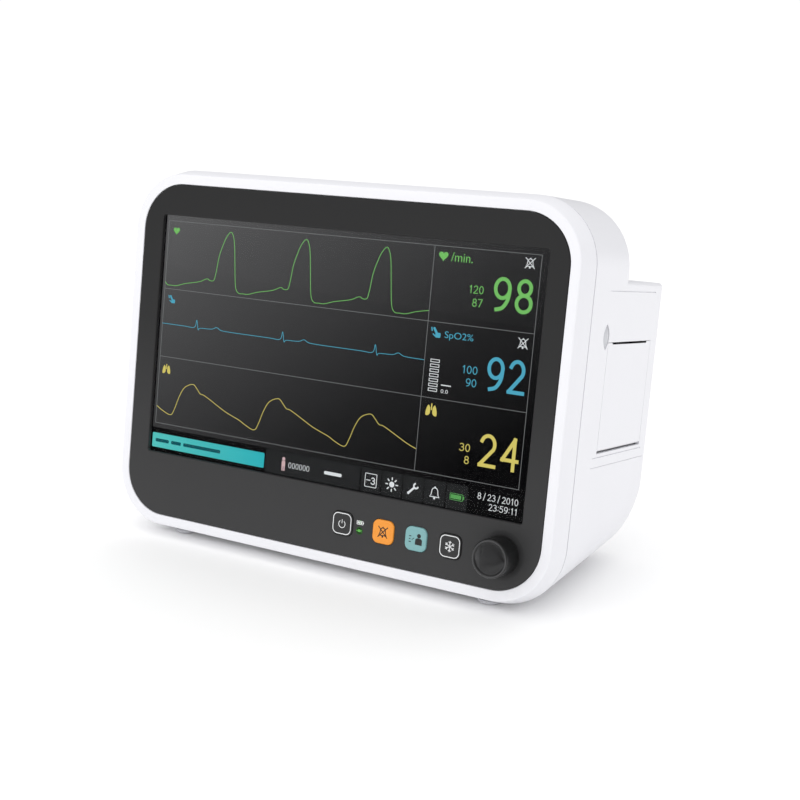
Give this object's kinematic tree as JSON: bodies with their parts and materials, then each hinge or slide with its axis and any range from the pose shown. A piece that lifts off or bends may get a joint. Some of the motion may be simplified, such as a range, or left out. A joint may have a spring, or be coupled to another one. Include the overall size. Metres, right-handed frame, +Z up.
{
  "type": "patient monitor",
  "caption": "Bedside patient monitor with keys, a push-and-turn knob and a side strip recorder, leaning back on rubber feet.",
  "frame": {"origin": "centre of the bounding box at the floor that the feet stand on", "axes": "+X to the right across the screen, +Y back from the screen, +Z up; the face leans back 10 degrees"},
  "size_m": [0.3208, 0.1668, 0.2335],
  "materials": {
    "white_plastic": "satin moulded",
    "charcoal_plastic": "fine matt texture",
    "rubber": "matt",
    "foot_rubber": "matt pale grey",
    "cover_glass": "clear gloss over a dark display",
    "black_plastic": "satin",
    "grey_plastic": "satin",
    "steel": "zinc plated",
    "circuit_board": "solder resist",
    "orange_key": "satin",
    "teal_key": "satin",
    "brass": "turned",
    "aluminium": "bare",
    "paper": "smooth thermal paper",
    "status_lamp": "clear light pipe",
    "green_socket": "satin",
    "blue_socket": "satin",
    "red_socket": "satin"
  },
  "bodies": {
    "monitor": {"battery_door_pin": "steel", "battery_light": "status_lamp", "battery_pack": "black_plastic", "chassis": "steel", "connector_panel": "grey_plastic", "cuff_port": "aluminium", "cuff_pump": "steel", "cuff_valve": "black_plastic", "data_socket": "steel", "earth_stud": "brass", "ecg_socket": "green_socket", "encoder_body": "steel", "feed_motor": "steel", "foot_1": "foot_rubber", "foot_2": "foot_rubber", "foot_3": "foot_rubber", "foot_4": "foot_rubber", "frame_seal": "rubber", "front_bezel": "charcoal_plastic", "front_frame": "white_plastic", "heat_sink": "aluminium", "housing_screw_1": "steel", "housing_screw_2": "steel", "housing_screw_3": "steel", "housing_screw_4": "steel", "key_board": "circuit_board", "lcd_panel": "black_plastic", "main_board": "circuit_board", "mains_inlet": "black_plastic", "mains_light": "status_lamp", "measurement_board": "circuit_board", "mount_insert_1": "brass", "mount_insert_2": "brass", "mount_insert_3": "brass", "mount_insert_4": "brass", "network_socket": "steel", "power_supply": "black_plastic", "pressure_socket": "red_socket", "print_head": "aluminium", "rear_housing": "white_plastic", "recorder_door_pin": "steel", "recorder_frame": "grey_plastic", "screen_glass": "cover_glass", "speaker": "black_plastic", "spo2_socket": "blue_socket", "temperature_socket": "teal_key"},
    "power_key": {"power_key": "charcoal_plastic"},
    "alarm_key": {"alarm_key": "orange_key"},
    "patient_key": {"patient_key": "teal_key"},
    "freeze_key": {"freeze_key": "charcoal_plastic"},
    "encoder_rotor": {"encoder_rotor": "black_plastic"},
    "knob": {"encoder_shaft": "steel", "encoder_knob": "charcoal_plastic"},
    "recorder_door": {"recorder_door": "white_plastic"},
    "platen": {"platen_roller": "rubber", "platen_gear": "grey_plastic"},
    "feed_gear": {"feed_gear": "brass"},
    "paper_roll": {"paper_roll": "paper"},
    "release_button": {"release_button": "grey_plastic"},
    "battery_door": {"battery_door": "white_plastic"}
  },
  "joints": [
    {"name": "power_key_press", "type": "slide", "parent": "monitor", "child": "power_key", "axis": [0, 0.9845, -0.1752], "range_m": [0, 0.001], "stiffness_N_per_m": 800},
    {"name": "alarm_key_press", "type": "slide", "parent": "monitor", "child": "alarm_key", "axis": [0, 0.9845, -0.1752], "range_m": [0, 0.001], "stiffness_N_per_m": 800},
    {"name": "patient_key_press", "type": "slide", "parent": "monitor", "child": "patient_key", "axis": [0, 0.9845, -0.1752], "range_m": [0, 0.001], "stiffness_N_per_m": 800},
    {"name": "freeze_key_press", "type": "slide", "parent": "monitor", "child": "freeze_key", "axis": [0, 0.9845, -0.1752], "range_m": [0, 0.001], "stiffness_N_per_m": 800},
    {"name": "knob_turn", "type": "hinge", "parent": "monitor", "child": "encoder_rotor", "pos_m": [0.126, -0.06692, 0.03574], "axis": [0, 0.9845, -0.1752], "continuous": true},
    {"name": "knob_press", "type": "slide", "parent": "encoder_rotor", "child": "knob", "axis": [0, 0.9845, -0.1752], "range_m": [0, 0.0008], "stiffness_N_per_m": 1500},
    {"name": "recorder_door_swing", "type": "hinge", "parent": "monitor", "child": "recorder_door", "pos_m": [0.158, -0.056, 0.09708], "axis": [0, 0.9845, -0.1752], "range_deg": [0, 90]},
    {"name": "release_press", "type": "slide", "parent": "monitor", "child": "release_button", "axis": [-1, 0, 0], "range_m": [0, 0.0012], "stiffness_N_per_m": 900},
    {"name": "platen_turn", "type": "hinge", "parent": "recorder_door", "child": "platen", "pos_m": [0.149, -0.04677, 0.14896], "axis": [0, 0.9845, -0.1752], "continuous": true},
    {"name": "feed_gear_turn", "type": "hinge", "parent": "monitor", "child": "feed_gear", "pos_m": [0.13805, -0.04677, 0.14896], "axis": [0, 0.9845, -0.1752], "continuous": true},
    {"name": "paper_roll_turn", "type": "hinge", "parent": "monitor", "child": "paper_roll", "pos_m": [0.13, -0.05238, 0.11746], "axis": [0, 0.9845, -0.1752], "continuous": true},
    {"name": "battery_door_swing", "type": "hinge", "parent": "monitor", "child": "battery_door", "pos_m": [0, 0.05646, 0.02699], "axis": [-1, 0, 0], "range_deg": [0, 90]}
  ],
  "couplings": [
    {"joint": "feed_gear_turn", "follows": "platen_turn", "ratio": -2},
    {"joint": "paper_roll_turn", "follows": "platen_turn", "ratio": -0.3158}
  ]
}
